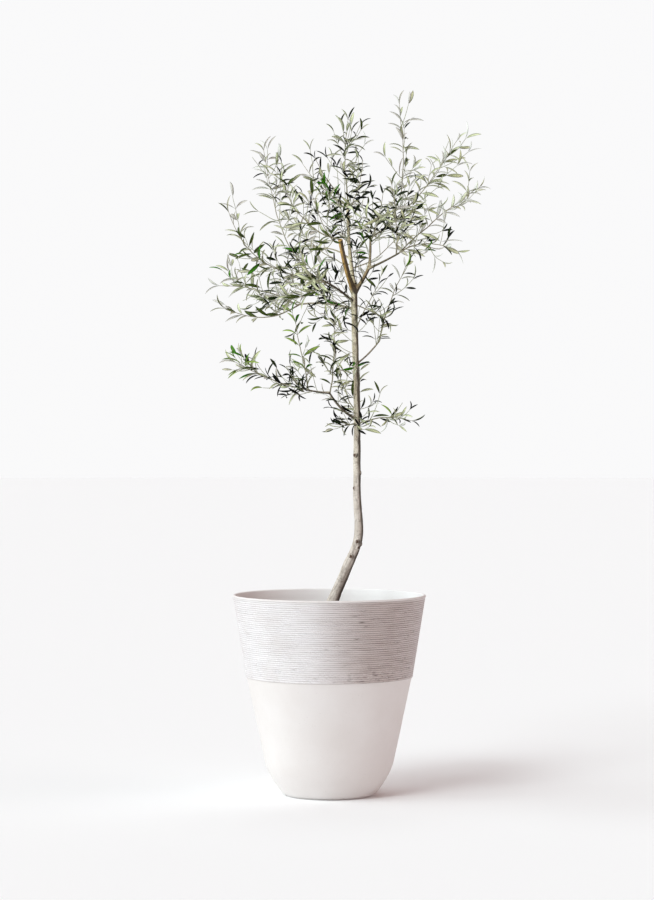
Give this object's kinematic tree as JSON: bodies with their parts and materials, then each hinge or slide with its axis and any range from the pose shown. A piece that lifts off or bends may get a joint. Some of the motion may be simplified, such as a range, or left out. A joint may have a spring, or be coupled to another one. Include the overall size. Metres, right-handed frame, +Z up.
{
  "type": "potted olive tree",
  "caption": "Slim bent trunk that forks into boughs with an open crown of narrow grey-green leaves, growing in a tapering round pot with a ribbed upper band.",
  "frame": {"origin": "centre of the pot's flat underside, where it stands on the ground", "axes": "+Z up along the pot's axis, +X to the right and -Y towards the viewer of the picture"},
  "size_m": [0.485, 0.4654, 1.1728],
  "materials": {
    "pot": "matte cast stone, smooth below and finely ribbed round the upper band",
    "soil": "rough crumbly potting soil",
    "bark": "matte grey-brown bark",
    "foliage": "leathery grey-green leaves, paler below"
  },
  "bodies": {
    "root": {"pot": "pot", "soil": "soil", "trunk": "bark", "bough_back": "bark", "bough_crossing": "bark", "bough_leader": "bark", "bough_left_arm": "bark", "bough_left_fork": "bark", "bough_left_upper": "bark", "bough_low_left": "bark", "bough_low_left_arm": "bark", "bough_right_arm": "bark", "bough_right_fork": "bark", "bough_right_low": "bark", "bough_right_upright": "bark", "mass_back_left": "foliage", "mass_back_low": "foliage", "mass_back_right": "foliage", "mass_back_top": "foliage", "mass_behind_trunk": "foliage", "mass_beside_trunk": "foliage", "mass_crossing": "foliage", "mass_far_left": "foliage", "mass_far_right": "foliage", "mass_front_left": "foliage", "mass_front_low": "foliage", "mass_front_right": "foliage", "mass_front_top": "foliage", "mass_leader": "foliage", "mass_left_arm": "foliage", "mass_left_drooping": "foliage", "mass_left_middle": "foliage", "mass_low_inner": "foliage", "mass_low_left": "foliage", "mass_low_left_upright": "foliage", "mass_low_right": "foliage", "mass_low_sprig": "foliage", "mass_right_arm": "foliage", "mass_right_lower": "foliage", "mass_right_sprig": "foliage", "mass_right_twig": "foliage", "mass_right_upright": "foliage", "mass_tall_left": "foliage", "mass_tall_right": "foliage", "mass_top_left": "foliage", "mass_top_left_high": "foliage", "mass_trunk_sprig": "foliage", "mass_upper_left": "foliage", "mass_upper_right": "foliage"}
  },
  "joints": []
}
